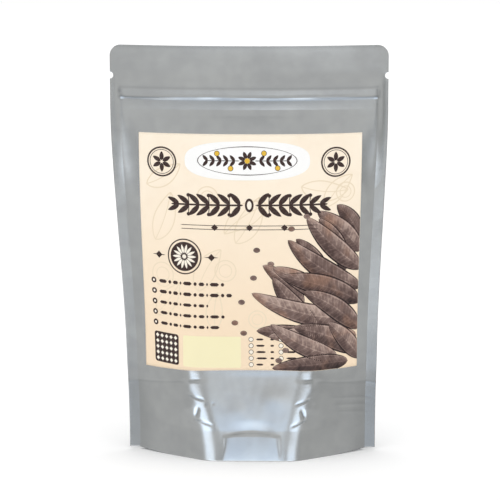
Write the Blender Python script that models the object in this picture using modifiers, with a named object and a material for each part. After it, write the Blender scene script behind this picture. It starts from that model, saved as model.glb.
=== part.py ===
"""A sealed stand-up pouch of dried carob pods.

The pouch is three webs of foil laminate, a front, a back and a bottom gusset, sealed along their
edges. A press-to-close zip runs inside below the top seal, a label lies on the front, and the pods
stand inside on the gusset. The origin is on the floor under the middle of the pouch, +Z is up and
the label faces -Y.

Every place on a web is given by two distances measured along the flat film: u across the pouch
from its middle, and v up from its bottom edge.
"""

import math

import bmesh
import bpy
import numpy as np

# Driving dimensions, in metres
POUCH_WIDTH = 0.160  # flat width, side edge to side edge
POUCH_HEIGHT = 0.240  # flat height, bottom edge to top edge
GUSSET_DEPTH = 0.040  # from the bottom edge up to the fold of the bottom film
FILM = 0.0003  # thickness of one web
GAP = 0.0003  # between pieces that touch
SIDE_SEAL = 0.007  # width of the seal down each side
ZIP_HEIGHT = 0.212  # the zip's middle, above the bottom edge
NOTCH_HEIGHT = 0.2210  # the tear notches' middle
NOTCH_RADIUS = 0.002
CORNER_RADIUS = 0.0065
LABEL_WIDTH = 0.129
LABEL_BOTTOM = 0.0532
LABEL_TOP = 0.1898
LABEL_THICKNESS = 0.0003
POD_THICKNESS = 0.0075

# How far the filled pouch opens
HALF_WIDTH = POUCH_WIDTH / 2
FLANK_ANGLE = math.radians(35.5)  # how far the flanks turn back low on the pouch
FLANK_LESS = 0.06  # share by which they turn back less at the very bottom
FLANK_LESS_OVER = 0.050  # height over which that share is made up
FLANK_TOP = 0.203  # height where they are flat again
BEND_FROM = 0.0245  # distance from the middle to the bend, at the bottom
BEND_TO = 0.034  # the same, above the gusset
BEND_MOVES = (0.0, 0.060)  # heights between which it moves out
BEND_HALF = 0.010  # half the width of the bend, low on the pouch
BEND_HALF_TOP = 0.034
BEND_WIDENS = (0.055, 0.150)  # heights between which it widens
FIN = (HALF_WIDTH - 1.3 * SIDE_SEAL, HALF_WIDTH - 0.4 * SIDE_SEAL)  # where the film flattens into the seal
ZIP_BOW = 0.0030  # how far the zip bows forward in the middle
TOP_BOW_SHARE = 0.65
TOP_FLARE = 0.0009  # how much higher the top corners stand than the middle of the top edge
HEIGHT_LOST = 0.0020  # height that the bulge takes up in the middle
MIDDLE_TOP = POUCH_HEIGHT - HEIGHT_LOST
CORNER_LIFT = 0.0015  # how far the bottom corners stand off the floor
LIFT_FROM = 0.050  # distance from the middle where the bottom edge starts to lift
LEAN = 0.0019  # how far the bottom stands to the right of the top
LEAN_OVER = 0.220  # height over which the pouch leans

# Spacing of the webs where they meet, from the pouch's middle plane to the middle of a web
SEAM_HALF = GAP / 2 + FILM / 2
GUSSET_LEAF_HALF = 0.0004  # of the gusset's own two leaves
GUSSET_SEAM_HALF = GUSSET_LEAF_HALF + FILM + GAP
GUSSET_SEAM_FADE = (0.042, 0.050)  # heights between which the webs close up above the gusset
ZIP_OPENS = (0.150, 0.204)  # heights between which they draw apart to the zip's thickness
ZIP_CLOSES = (0.2165, 0.2215)  # heights between which they close up above it
ZIP_END_FADE = (0.073, 0.079)  # the same, by the distance from the pouch's middle

# The gusset
GUSSET_EDGE = 0.0005  # how far the gusset's own edges stay off the floor
GUSSET_SEAL = 0.015  # height of the bottom seal in the middle
GUSSET_SEAL_POWER = 2.5  # how steeply the seal rises to the gusset's fold at the side edges
GUSSET_SAG = 0.0040  # how far the contents press the gusset down
GUSSET_SAG_REACH = 0.052
GUSSET_CREST = 0.0006  # how far its fold stands up beyond the sag

# The zip, in sections across its run: y is towards the back, z up
ZIP_HALF_LENGTH = 0.072
TRACK_HALF_TALL = 0.0035
TRACK_FLANGE = 0.0003
TRACK_FACE = 0.00075  # each flange's inner face, from the middle plane
TRACK_REACH = 0.0011  # how far the jaws and the rib stand off their flange
RIB_HALF = 0.00025
JAW = (0.00055, 0.00100)  # each jaw's inner and outer face, from the zip's middle
ZIP_HALF = TRACK_FACE + TRACK_FLANGE + GAP + FILM / 2

# The die that cuts the webs to their outline
DIE_CLEAR = 0.004  # how far it runs outside the side edges
DIE_DEPTH = 0.120
TRIM = 0.0006  # how much it trims off the webs' bottom edge, to leave it flat on the floor

# The pods: thick and rounded along both edges, sunk between them, with a swelling over each seed
STALK = 0.006
STALK_WIDTH = 0.0032
POD_TAPER = 0.22  # share of its width that a pod loses towards its ends
POD_SUNK = 0.30  # how deep its sides sink, as a share of its thickness
POD_SUNK_WIDTH = 0.55
SEED_SWELL = 0.55  # how much of that depth a seed fills
SEED_SPACING = 0.0105
POD_SIDES = 14
POD_RINGS = 15

QUADRATURE = (np.arange(48) + 0.5) / 48  # places at which a web's section is added up


def smooth(t):
    """A smooth step from 0 at t = 0 to 1 at t = 1."""
    t = np.clip(t, 0.0, 1.0)
    return t * t * (3.0 - 2.0 * t)


def between(value, limits):
    """A smooth step from 0 at the first limit to 1 at the second."""
    return smooth((value - limits[0]) / (limits[1] - limits[0]))


def section_angle(u, v):
    """How far the front film has turned back from facing straight ahead, at distance u from the middle."""
    flank = FLANK_ANGLE * np.clip(1.0 - (v / FLANK_TOP) ** 3, 0.0, 1.0)
    flank = flank * (1.0 - FLANK_LESS * (1.0 - between(v, (0.0, FLANK_LESS_OVER))))
    bend = BEND_FROM + (BEND_TO - BEND_FROM) * between(v, BEND_MOVES)
    half = BEND_HALF + (BEND_HALF_TOP - BEND_HALF) * between(v, BEND_WIDENS)
    turned = smooth((u - bend + half) / (2.0 * half))
    sealed = between(u, FIN)
    return flank * turned * (1.0 - sealed)


def seam_half(u, v):
    """Distance from the middle plane to the middle of a web where the webs meet."""
    at_gusset = 1.0 - between(v, GUSSET_SEAM_FADE)
    at_zip = between(v, ZIP_OPENS) * (1.0 - between(v, ZIP_CLOSES)) * (1.0 - between(u, ZIP_END_FADE))
    return SEAM_HALF + (GUSSET_SEAM_HALF - SEAM_HALF) * at_gusset + (ZIP_HALF - SEAM_HALF) * at_zip


def bow(u, v):
    """How far the whole pouch bows forward, front and back webs alike."""
    rise = between(v, (0.0, ZIP_HEIGHT))
    fall = (1.0 - TOP_BOW_SHARE) * between(v, (ZIP_HEIGHT, POUCH_HEIGHT))
    return -ZIP_BOW * (rise - fall) * (1.0 - (u / HALF_WIDTH) ** 2)


def lean(v):
    """How far to the right the pouch stands at height v."""
    return LEAN * (1.0 - between(v, (0.0, LEAN_OVER)))


def height(u, v):
    """A web's height above the floor: its top corners flare up, its bottom corners lift off the floor."""
    top = MIDDLE_TOP + TOP_FLARE * (u / HALF_WIDTH) ** 2
    lift = CORNER_LIFT * between(np.abs(u), (LIFT_FROM, HALF_WIDTH))
    return lift + (top - lift) * v / POUCH_HEIGHT


def film_point(u, v, side, outward=0.0):
    """A point of a web, moved outward from the middle of its thickness.

    side is -1 on the front web and 1 on the back. The section is followed from the middle to u by
    adding up the cosine of its angle, and its depth from u to the side edge by adding up the sine.
    """
    across = np.abs(u)
    inner = across[..., None] * QUADRATURE
    outer = across[..., None] + (HALF_WIDTH - across)[..., None] * QUADRATURE
    x = across * np.cos(section_angle(inner, v[..., None])).mean(axis=-1)
    depth = (HALF_WIDTH - across) * np.sin(section_angle(outer, v[..., None])).mean(axis=-1)
    angle = section_angle(across, v)
    x = np.sign(u) * (x + outward * np.sin(angle)) + lean(v)
    y = side * (seam_half(across, v) + depth + outward * np.cos(angle)) + bow(u, v)
    return np.stack([x, y, height(u, v)], axis=-1)


def material(name, colour, roughness, metallic=0.0):
    made = bpy.data.materials.new(name)
    made.use_nodes = True
    shader = made.node_tree.nodes["Principled BSDF"]
    shader.inputs["Base Color"].default_value = (*colour, 1.0)
    shader.inputs["Roughness"].default_value = roughness
    shader.inputs["Metallic"].default_value = metallic
    return made


def add_object(name, mesh, made_of, collection):
    obj = bpy.data.objects.new(name, mesh)
    mesh.materials.append(made_of)
    collection.objects.link(obj)
    return obj


def thicken(obj, thickness):
    """Makes a surface a plate, evenly to both sides."""
    plate = obj.modifiers.new("thickness", "SOLIDIFY")
    plate.thickness = thickness
    plate.offset = 0.0


def sheet(name, columns, rows, place, thickness, made_of, collection):
    """A flat grid, each of whose points is moved to place(u, v), made a plate."""
    grid = bmesh.new()
    bmesh.ops.create_grid(grid, x_segments=len(columns) - 1, y_segments=len(rows) - 1, size=1.0)
    mesh = bpy.data.meshes.new(name)
    grid.to_mesh(mesh)
    grid.free()
    flat = np.empty(len(mesh.vertices) * 3)
    mesh.vertices.foreach_get("co", flat)
    flat = (flat.reshape(-1, 3) + 1.0) / 2.0
    u = np.interp(flat[:, 0] * (len(columns) - 1), np.arange(len(columns)), columns)
    v = np.interp(flat[:, 1] * (len(rows) - 1), np.arange(len(rows)), rows)
    mesh.vertices.foreach_set("co", place(u, v).ravel())
    mesh.update()
    mesh.shade_smooth()
    obj = add_object(name, mesh, made_of, collection)
    thicken(obj, thickness)
    return obj


def loft(name, rings, made_of, collection):
    """A closed skin through rings of points, made by extruding the first ring's face through the rest."""
    skin = bmesh.new()
    cap = skin.faces.new([skin.verts.new(point) for point in rings[0]])
    for ring in rings[1:]:
        cap = bmesh.ops.extrude_discrete_faces(skin, faces=[cap])["faces"][0]
        for vert, point in zip(cap.verts, ring):
            vert.co = point
    bmesh.ops.holes_fill(skin, edges=skin.edges[:])
    bmesh.ops.recalc_face_normals(skin, faces=skin.faces[:])
    mesh = bpy.data.meshes.new(name)
    skin.to_mesh(mesh)
    skin.free()
    mesh.shade_smooth()
    mesh.set_sharp_from_angle(angle=math.radians(50.0))
    return add_object(name, mesh, made_of, collection)


def arc(x, z, radius, start, end, count):
    """Points along an arc about (x, z), from one angle in degrees to another."""
    turn = np.radians(np.linspace(start, end, count))
    return np.stack([x + radius * np.cos(turn), z + radius * np.sin(turn)], axis=-1)


def die_outline():
    """The pouch's flat outline: rounded top corners, a half-round tear notch in each side edge.

    The right half is drawn from the bottom up and mirrored. Its sides run clear of the film.
    """
    side = HALF_WIDTH + DIE_CLEAR
    corner_x = HALF_WIDTH - CORNER_RADIUS
    corner_z = MIDDLE_TOP + TOP_FLARE - CORNER_RADIUS
    top_x = corner_x * np.linspace(0.8, 0.0, 5)
    top_z = MIDDLE_TOP + TOP_FLARE * (top_x / corner_x) ** 2
    right = np.concatenate([
        [(side, 0.0), (side, NOTCH_HEIGHT - NOTCH_RADIUS)],
        arc(HALF_WIDTH, NOTCH_HEIGHT, NOTCH_RADIUS, 270.0, 90.0, 11),
        [(side, NOTCH_HEIGHT + NOTCH_RADIUS), (side, corner_z)],
        arc(corner_x, corner_z, CORNER_RADIUS, 0.0, 90.0, 7),
        np.stack([top_x, top_z], axis=-1),
    ])
    left = right[-2::-1] * (-1.0, 1.0)
    return np.concatenate([right, left])


def die(collection):
    """The cutting die: the flat outline made thicker than the pouch is deep."""
    plate = bmesh.new()
    plate.faces.new([plate.verts.new((x, 0.0, z)) for x, z in die_outline()])
    mesh = bpy.data.meshes.new("die")
    plate.to_mesh(mesh)
    plate.free()
    obj = bpy.data.objects.new("die", mesh)
    collection.objects.link(obj)
    thicken(obj, DIE_DEPTH)
    obj.hide_render = True
    obj.display_type = "WIRE"
    return obj


def cut_out(obj, cutter):
    """Trims a web to the die's outline, which leaves its bottom edge flat on the floor."""
    trim = obj.modifiers.new("cut to the die", "BOOLEAN")
    trim.operation = "INTERSECT"
    trim.solver = "EXACT"
    trim.object = cutter


def film_columns():
    """Distances across a web: close together at the bends and the side seals."""
    to_label = [0.0, 0.009, 0.018, 0.023, 0.028, 0.033, 0.039, 0.047, 0.055, LABEL_WIDTH / 2]
    right = to_label + [0.070, 0.0735, 0.077, HALF_WIDTH]
    return np.array([-u for u in right[:0:-1]] + right)


def film_rows():
    """Heights up a web: even beside the label, close together at the zip."""
    below = np.array([-TRIM, 0.012, 0.024, 0.036])
    beside_label = np.linspace(LABEL_BOTTOM, LABEL_TOP, 13)
    around_zip = ZIP_HEIGHT + np.array([-0.0075, -0.0045, 0.0, 0.0045, 0.0075])
    above = np.array([0.223, 0.232, POUCH_HEIGHT + TRIM])
    return np.concatenate([below, beside_label, around_zip, above])


def web(name, side, made_of, collection, cutter):
    """The front or the back web."""

    def place(u, v):
        return film_point(u, v, side)

    obj = sheet(name, film_columns(), film_rows(), place, FILM, made_of, collection)
    cut_out(obj, cutter)
    return obj


def gusset_point(u, w):
    """A point of the bottom film. w is -1 at the front web's bottom edge, 1 at the back's, 0 on the fold.

    The outer half of each side lies sealed against its web, up to a line that rises from the bottom
    seal to the top of the gusset at the side edges. The inner half spans from front to back, and
    sags in the middle under the contents.
    """
    side = np.where(w < 0.0, -1.0, 1.0)
    share = np.clip(2.0 * np.abs(w), 0.0, 1.0)
    up_the_seal = np.clip(2.0 - 2.0 * np.abs(w), 0.0, 1.0)
    seal_top = GUSSET_SEAL + (GUSSET_DEPTH - GUSSET_SEAL) * np.abs(u / HALF_WIDTH) ** GUSSET_SEAL_POWER
    v = GUSSET_EDGE + (seal_top - GUSSET_EDGE) * up_the_seal
    x, y, z = film_point(u, v, side, -(FILM + GAP)).T
    reach = np.abs(u) / GUSSET_SAG_REACH
    rise = GUSSET_CREST * smooth(reach - 1.0) - GUSSET_SAG * np.clip(1.0 - reach**2, 0.0, None)
    middle = bow(u, seal_top)
    y = np.where(share < 1.0, middle + (y - middle) * share, y)
    z = z + rise * (1.0 - share**2)
    return np.stack([x, y, z], axis=-1)


def gusset(made_of, collection):
    """The bottom film, folded up between the two webs."""
    front = np.array([-1.0, -0.75, -0.5, -0.36, -0.22, -0.10])
    rows = np.concatenate([front, [0.0], -front[::-1]])
    return sheet("bottom_gusset", film_columns(), rows, gusset_point, FILM, made_of, collection)


def label(made_of, collection):
    """The label, stuck on the front web."""

    def place(u, v):
        return film_point(u, v, -1, FILM / 2 + GAP + LABEL_THICKNESS / 2)

    columns = film_columns()
    columns = columns[np.abs(columns) <= LABEL_WIDTH / 2]
    rows = np.linspace(LABEL_BOTTOM, LABEL_TOP, 13)
    return sheet("front_label", columns, rows, place, LABEL_THICKNESS, made_of, collection)


def groove_section():
    """The groove half, on the front web: a flange with two jaws towards the back."""
    face, tip = -TRACK_FACE, TRACK_REACH - TRACK_FACE
    back = face - TRACK_FLANGE
    low, high = JAW
    return [
        (back, -TRACK_HALF_TALL),
        (face, -TRACK_HALF_TALL),
        (face, -high),
        (tip, -high),
        (tip, -low),
        (face, -low),
        (face, low),
        (tip, low),
        (tip, high),
        (face, high),
        (face, TRACK_HALF_TALL),
        (back, TRACK_HALF_TALL),
    ]


def ridge_section():
    """The ridge half, on the back web: a flange with one rib, which lies between the jaws."""
    face, tip = TRACK_FACE, TRACK_FACE - TRACK_REACH
    back = face + TRACK_FLANGE
    return [
        (back, TRACK_HALF_TALL),
        (face, TRACK_HALF_TALL),
        (face, RIB_HALF),
        (tip, RIB_HALF),
        (tip, -RIB_HALF),
        (face, -RIB_HALF),
        (face, -TRACK_HALF_TALL),
        (back, -TRACK_HALF_TALL),
    ]


def zip_track(name, section, made_of, collection):
    """One half of the zip: its section carried along the zip's bowed line."""
    u = np.linspace(-ZIP_HALF_LENGTH, ZIP_HALF_LENGTH, 13)
    v = np.full_like(u, ZIP_HEIGHT)
    line = np.stack([u + lean(v), bow(u, v), height(u, v)], axis=-1)
    across = np.array([(0.0, y, z) for y, z in section])
    return loft(name, line[:, None, :] + across[None, :, :], made_of, collection)


def pod_rings(length, width, bend):
    """A pod from its stalk up to its tip, as rings of points: its broad sides face front and back.

    Its middle line bends sideways by bend.
    """
    fruit = length - STALK
    up = np.linspace(0.04, 1.0, POD_RINGS)
    t = np.concatenate([[0.0, 0.35 * STALK, STALK], STALK + fruit * up])
    body = np.clip((t - STALK) / fruit, 0.0, 1.0)
    from_middle = np.abs(2.0 * body - 1.0)
    full = np.sqrt(1.0 - from_middle**5)
    taper = 1.0 - POD_TAPER * from_middle**2
    half_width = (STALK_WIDTH + (width - STALK_WIDTH) * full * taper) / 2
    half_thick = (STALK_WIDTH + (POD_THICKNESS - STALK_WIDTH) * full) / 2
    around = np.arange(POD_SIDES) * 2.0 * math.pi / POD_SIDES
    edgeward, broadside = np.cos(around), np.sin(around)
    seeds = round(length / SEED_SPACING)
    swell = SEED_SWELL * (0.5 - 0.5 * np.cos(2.0 * math.pi * seeds * body))
    sunk = POD_SUNK * np.exp(-((edgeward / POD_SUNK_WIDTH) ** 2))[None, :] * (1.0 - swell)[:, None]
    flattened = np.sign(broadside) * np.abs(broadside) ** 0.6
    profile = np.where((full > 0.0)[:, None], flattened[None, :] * (1.0 - sunk), broadside[None, :])
    x = (4.0 * bend * body * (1.0 - body))[:, None] + half_width[:, None] * edgeward[None, :]
    y = half_thick[:, None] * profile
    z = np.repeat(t[:, None], POD_SIDES, axis=1)
    return np.stack([x, y, z], axis=-1)


# Each pod: its foot in millimetres, then its lean to the right, lean back and turn in degrees, then
# its length, width and bend in millimetres
PODS = (
    ((-25.0, -15.0, 16.5), (-2.0, 3.0, -12.0), (118.0, 22.0, -4.0)),
    ((0.0, -16.5, 15.5), (1.0, 4.0, -3.0), (126.0, 23.0, 4.0)),
    ((25.0, -15.0, 16.5), (2.0, 3.0, 12.0), (112.0, 21.0, 4.0)),
    ((-41.0, 0.0, 24.0), (-3.0, 0.0, 0.0), (110.0, 21.0, -4.0)),
    ((-15.0, 0.0, 13.5), (-2.0, 0.5, 0.0), (134.0, 23.0, -5.0)),
    ((14.0, 0.0, 13.5), (2.0, -0.5, 3.0), (130.0, 22.0, 5.0)),
    ((43.0, 0.0, 24.0), (3.0, 0.0, 0.0), (116.0, 22.0, 4.0)),
    ((-24.0, 15.5, 16.5), (-2.0, -2.5, 12.0), (120.0, 21.0, -4.0)),
    ((1.0, 16.5, 15.5), (0.0, -4.0, 2.0), (122.0, 22.0, 4.0)),
    ((25.0, 15.5, 16.5), (2.0, -2.5, -12.0), (114.0, 21.0, 4.0)),
)
MM = 0.001


def pod(number, foot, leans, sizes, made_of, collection):
    """One pod, standing on the gusset and leaning with the others."""
    right, back, turn = np.radians(leans)
    obj = loft(f"carob_pod_{number:02d}", pod_rings(*(size * MM for size in sizes)), made_of, collection)
    obj.location = [place * MM for place in foot]
    obj.rotation_euler = (-back, right, turn)
    return obj


def main():
    for obj in list(bpy.data.objects):
        bpy.data.objects.remove(obj)
    pouch = bpy.data.collections.new("stand_up_pouch")
    cutters = bpy.data.collections.new("cutters")
    for collection in (pouch, cutters):
        bpy.context.scene.collection.children.link(collection)

    foil = material("foil_laminate", (0.40, 0.41, 0.41), 0.36, 0.85)
    paper = material("label_paper", (0.98, 0.88, 0.74), 0.55)
    plastic = material("zip_plastic", (0.80, 0.82, 0.83), 0.35)
    pod_skin = material("pod_skin", (0.085, 0.042, 0.028), 0.42)

    cutter = die(cutters)
    web("front_panel", -1, foil, pouch, cutter)
    web("back_panel", 1, foil, pouch, cutter)
    gusset(foil, pouch)
    label(paper, pouch)
    zip_track("zip_groove_track", groove_section(), plastic, pouch)
    zip_track("zip_ridge_track", ridge_section(), plastic, pouch)
    for number, (foot, leans, sizes) in enumerate(PODS, start=1):
        pod(number, foot, leans, sizes, pod_skin, pouch)


main()
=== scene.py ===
"""The looks of a sealed stand-up pouch of dried carob pods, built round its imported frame.

Every place on the pouch's film is given by two distances measured along the flat film, as the
frame's own parts are: u across the pouch from its middle, and v up from its bottom edge. Each piece
of film, and all that is printed on the label, is a grid of u and v moved to its place by a formula.
"""

import math

import bpy
import numpy as np
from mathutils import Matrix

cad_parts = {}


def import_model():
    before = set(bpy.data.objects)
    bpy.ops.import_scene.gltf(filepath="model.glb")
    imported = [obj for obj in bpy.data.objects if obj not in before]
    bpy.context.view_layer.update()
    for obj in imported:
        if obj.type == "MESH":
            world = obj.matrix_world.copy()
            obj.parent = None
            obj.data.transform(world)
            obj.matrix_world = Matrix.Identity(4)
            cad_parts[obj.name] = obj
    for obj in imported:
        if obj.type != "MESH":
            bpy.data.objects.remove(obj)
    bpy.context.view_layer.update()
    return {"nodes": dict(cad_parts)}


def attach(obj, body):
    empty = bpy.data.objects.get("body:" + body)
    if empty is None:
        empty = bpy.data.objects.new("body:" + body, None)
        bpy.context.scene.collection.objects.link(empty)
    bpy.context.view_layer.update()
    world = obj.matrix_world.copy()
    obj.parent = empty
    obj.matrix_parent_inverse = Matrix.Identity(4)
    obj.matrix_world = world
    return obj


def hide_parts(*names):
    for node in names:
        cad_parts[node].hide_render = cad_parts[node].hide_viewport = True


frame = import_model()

# The pouch's shape, as in the part's source, in metres
POUCH_WIDTH = 0.160
POUCH_HEIGHT = 0.240
GUSSET_DEPTH = 0.040
SIDE_SEAL = 0.007
ZIP_HEIGHT = 0.212
NOTCH_HEIGHT = 0.2221
NOTCH_RADIUS = 0.002
CORNER_RADIUS = 0.0065
LABEL_WIDTH = 0.129
LABEL_BOTTOM = 0.0532
LABEL_TOP = 0.1898
HALF_WIDTH = POUCH_WIDTH / 2
FLANK_ANGLE = math.radians(35.5)
FLANK_LESS = 0.06
FLANK_LESS_OVER = 0.050
FLANK_TOP = 0.203
BEND_FROM = 0.0245
BEND_TO = 0.034
BEND_MOVES = (0.0, 0.060)
BEND_HALF = 0.010
BEND_HALF_TOP = 0.034
BEND_WIDENS = (0.055, 0.150)
FIN = (0.0740, 0.07401)
FIN_SWEEP = 0.075
ZIP_BOW = 0.0030
TOP_BOW_SHARE = 0.65
TOP_FLARE = 0.0009
MIDDLE_TOP = 0.238
CORNER_LIFT = 0.0015
LIFT_FROM = 0.050
LEAN = 0.0019
LEAN_OVER = 0.220
GUSSET_EDGE = 0.0005
GUSSET_SEAL = 0.015
GUSSET_SEAL_POWER = 2.5
GUSSET_SAG = 0.0040
GUSSET_SAG_REACH = 0.052
GUSSET_CREST = 0.0006

# Spacing of the webs from the middle plane: the real film's at the seals, the frame's where filled
FILM = 0.00015
SEAL_HALF = 0.00010
GUSSET_SEAL_HALF = 0.00030
FILLED_HALF = 0.00030
FILLED_HALF_LOW = 0.00100
GUSSET_FADE = (0.040, 0.048)
LOW_FADE = (0.030, 0.130)
TO_SEAL = (0.058, 0.071)
ZIP_HALF = 0.0015
ZIP_OPENS = (0.150, 0.204)
ZIP_CLOSES = (0.2158, 0.2250)
ZIP_END_FADE = (0.0725, 0.0785)
GUSSET_INSET = 0.00020

PAPER = 0.00010
GLUE = 0.00004
PAPER_OFF = FILM / 2 + PAPER / 2 + GLUE
# How far the label's left and right edges lie off its nominal ones at its top, and what its foot adds
LABEL_MOVES = (0.0009, 0.0006)
LABEL_MOVES_LOW = (-0.0036, 0.0017)
# How far its bottom edge rises in the middle, how much less at the sides, and how far in the ink ends
LABEL_FOOT_RISE = 0.0011
LABEL_FOOT_CURVE = 0.0027
INK_INSET = 0.00015

MM = 1000.0
NODES, WEIGHTS = np.polynomial.legendre.leggauss(20)


def smooth(t):
    """A smooth step from 0 at t = 0 to 1 at t = 1: t squared times 3 less 2 t."""
    t = np.clip(t, 0.0, 1.0)
    return t * t * (3.0 - 2.0 * t)


def between(value, limits):
    """A smooth step from 0 at the first limit to 1 at the second."""
    return smooth((value - limits[0]) / (limits[1] - limits[0]))


def bell(value, middle, width):
    """1 at the middle, falling off as exp(-(distance / width) squared)."""
    return np.exp(-(((value - middle) / width) ** 2))


def section_angle(u, v):
    """How far the film has turned back from facing straight ahead, at distance u from the middle.

    It turns by the flank's angle, which falls off with the cube of the height, over a bend, and
    turns forward again where the side seal starts.
    """
    flank = FLANK_ANGLE * np.clip(1.0 - (v / FLANK_TOP) ** 3, 0.0, 1.0)
    flank = flank * (1.0 - FLANK_LESS * (1.0 - between(v, (0.0, FLANK_LESS_OVER))))
    bend = BEND_FROM + (BEND_TO - BEND_FROM) * between(v, BEND_MOVES)
    half = BEND_HALF + (BEND_HALF_TOP - BEND_HALF) * between(v, BEND_WIDENS)
    turned = smooth((u - bend + half) / (2.0 * half))
    return flank * turned * (1.0 - between(u, FIN))


def seam_half(u, v):
    """Distance from the middle plane to the web where the webs meet, wider over the zip and gusset."""
    at_gusset = 1.0 - between(v, GUSSET_FADE)
    filled = FILLED_HALF + (FILLED_HALF_LOW - FILLED_HALF) * (1.0 - between(v, LOW_FADE))
    sealed = SEAL_HALF + (GUSSET_SEAL_HALF - SEAL_HALF) * at_gusset
    half = filled + (sealed - filled) * between(u, TO_SEAL)
    at_zip = between(v, ZIP_OPENS) * (1.0 - between(v, ZIP_CLOSES)) * (1.0 - between(u, ZIP_END_FADE))
    return half + (ZIP_HALF - half) * at_zip


def bow(u, v):
    """How far the whole pouch bows forward: most at the zip, none at the side edges."""
    rise = between(v, (0.0, ZIP_HEIGHT))
    fall = (1.0 - TOP_BOW_SHARE) * between(v, (ZIP_HEIGHT, POUCH_HEIGHT))
    return -ZIP_BOW * (rise - fall) * (1.0 - (u / HALF_WIDTH) ** 2)


def lean(v):
    """How far to the right the pouch stands at height v."""
    return LEAN * (1.0 - between(v, (0.0, LEAN_OVER)))


def height(u, v):
    """A web's height above the floor: its top corners flare up, its bottom corners lift off."""
    top = MIDDLE_TOP + TOP_FLARE * (u / HALF_WIDTH) ** 2
    lift = CORNER_LIFT * between(np.abs(u), (LIFT_FROM, HALF_WIDTH))
    return lift + (top - lift) * v / POUCH_HEIGHT


def added_up(part, v, start, end):
    """The sine or cosine of the section's angle, added up from start to end at 20 places."""
    half = (end - start) / 2.0
    places = (start + half)[..., None] + half[..., None] * NODES
    return half * (part(section_angle(places, v[..., None])) * WEIGHTS).sum(axis=-1)


def film_point(u, v, side, outward):
    """A point of a web, moved outward from the middle of its thickness.

    side is -1 on the front web and 1 on the back. x adds up the cosine of the section's angle from
    the middle to u, and the depth adds up its sine from u to the side edge. Both sums are split
    where the side seal starts, because the angle drops to 0 within 0.01 mm there. Both webs of a
    side seal sweep back a little towards its cut edge.
    """
    across = np.abs(u)
    seal = np.full_like(across, FIN[0])
    before = np.minimum(across, FIN[0])
    within = np.clip(across, FIN[0], FIN[1])
    x = added_up(np.cos, v, np.zeros_like(across), before) + added_up(np.cos, v, seal, within)
    x = x + np.clip(across - FIN[1], 0.0, None)
    depth = added_up(np.sin, v, before, seal) + added_up(np.sin, v, within, np.full_like(across, FIN[1]))
    angle = section_angle(across, v)
    x = np.sign(u) * (x + outward * np.sin(angle)) + lean(v)
    sweep = FIN_SWEEP * np.clip(across - FIN[1], 0.0, None)
    y = side * (seam_half(across, v) + depth + outward * np.cos(angle)) + bow(u, v) + sweep
    return np.stack([x, y, height(u, v)], axis=-1)


def steps(start, *parts):
    """Places from start on, through parts that are each given as (end, spacing)."""
    places = [np.array([start])]
    for end, spacing in parts:
        count = max(1, round(abs(end - start) / spacing))
        places.append(np.linspace(start, end, count + 1)[1:])
        start = end
    return np.concatenate(places)


def grid_faces(columns, rows, flip=False):
    """The quads of a grid whose points run row by row."""
    corner = (np.arange(rows - 1)[:, None] * columns + np.arange(columns - 1)[None, :]).ravel()
    quads = np.stack([corner, corner + 1, corner + columns + 1, corner + columns], axis=1)
    return quads[:, ::-1] if flip else quads


def make_mesh(name, points, faces, flat=None, values=None):
    """A mesh object from arrays of points and quads, with a UV map and point attributes if given."""
    mesh = bpy.data.meshes.new(name)
    mesh.vertices.add(len(points))
    mesh.vertices.foreach_set("co", np.asarray(points, np.float32).ravel())
    mesh.loops.add(faces.size)
    mesh.loops.foreach_set("vertex_index", faces.ravel().astype(np.int32))
    mesh.polygons.add(len(faces))
    mesh.polygons.foreach_set("loop_start", (np.arange(len(faces)) * 4).astype(np.int32))
    mesh.update(calc_edges=True)
    mesh.validate()
    if flat is not None:
        layer = mesh.uv_layers.new(name="UVMap")
        layer.data.foreach_set("uv", np.asarray(flat, np.float32)[faces.ravel()].ravel())
    for key, value in (values or {}).items():
        attribute = mesh.attributes.new(key, "FLOAT", "POINT")
        attribute.data.foreach_set("value", np.asarray(value, np.float32))
    mesh.shade_smooth()
    obj = bpy.data.objects.new(name, mesh)
    bpy.context.scene.collection.objects.link(obj)
    return obj


def sharpen(obj, on_line):
    """Makes a sharp fold of every edge that runs between two points on the line."""
    mesh = obj.data
    ends = np.empty(len(mesh.edges) * 2, np.int32)
    mesh.edges.foreach_get("vertices", ends)
    sharp = on_line[ends.reshape(-1, 2)].all(axis=1)
    mesh.attributes.new("sharp_edge", "BOOLEAN", "EDGE").data.foreach_set("value", sharp)


def thicken(obj, thickness):
    """Makes a surface a plate, evenly to both sides."""
    modifier = obj.modifiers.new("thickness", "SOLIDIFY")
    modifier.thickness = thickness
    modifier.offset = 0.0
    modifier.use_even_offset = False


def edge_at(v):
    """Distance from the middle to the cut side edge at height v: round corners, half-round notches."""
    into_corner = np.clip(v - (POUCH_HEIGHT - CORNER_RADIUS), 0.0, CORNER_RADIUS)
    corner = CORNER_RADIUS - np.sqrt(CORNER_RADIUS**2 - into_corner**2)
    notch = np.sqrt(np.clip(NOTCH_RADIUS**2 - (v - NOTCH_HEIGHT) ** 2, 0.0, None))
    return HALF_WIDTH - corner - notch


def film_columns():
    """Distances across a web: close together at the bends and at the side seals."""
    right = steps(
        0.0, (0.013, 0.0013), (0.043, 0.0007), (0.0730, 0.0014), (FIN[0], 0.0005), (0.0750, 0.0005),
        (0.0795, 0.0009), (HALF_WIDTH, 0.0005),
    )
    return np.concatenate([-right[:0:-1], right])


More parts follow.
